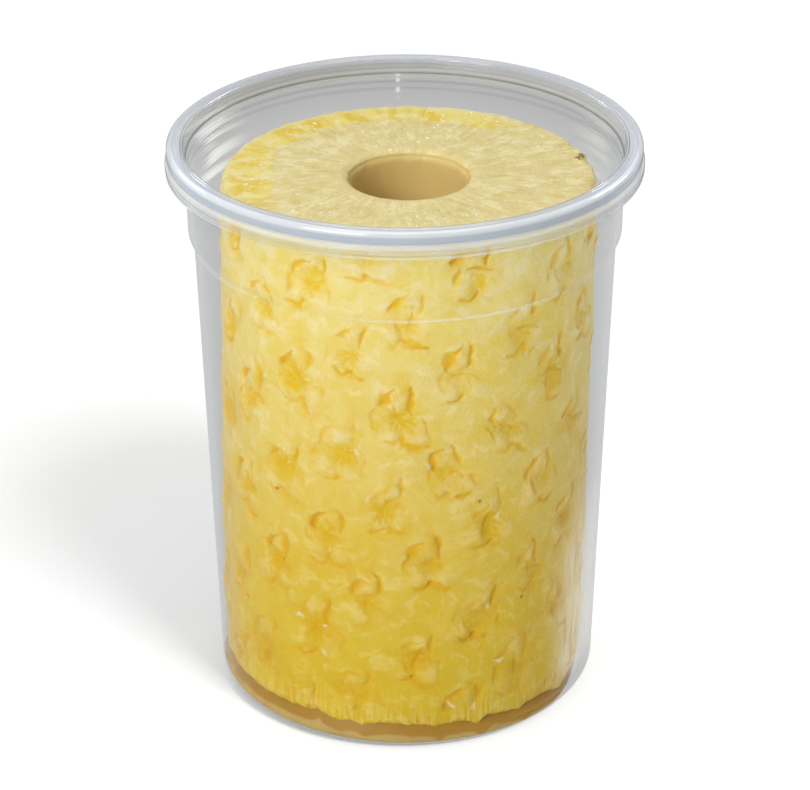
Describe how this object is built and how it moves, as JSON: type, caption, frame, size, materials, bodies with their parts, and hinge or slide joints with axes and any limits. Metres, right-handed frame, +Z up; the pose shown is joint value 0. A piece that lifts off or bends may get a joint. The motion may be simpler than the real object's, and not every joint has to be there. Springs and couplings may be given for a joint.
{
  "type": "cup of cored peeled pineapple",
  "caption": "Open clear plastic deli cup holding a whole peeled and cored pineapple cylinder that stands in a little juice.",
  "frame": {"origin": "centre of the cup's underside, on the surface that it stands on", "axes": "+Z up along the cup's axis, -Y towards the viewer"},
  "size_m": [0.1178, 0.1178, 0.146],
  "materials": {
    "cup_plastic": "clear gloss",
    "pineapple_flesh": "moist fruit flesh",
    "juice_liquid": "wet liquid"
  },
  "bodies": {
    "root": {"cup": "cup_plastic", "pineapple": "pineapple_flesh", "juice": "juice_liquid"}
  },
  "joints": []
}
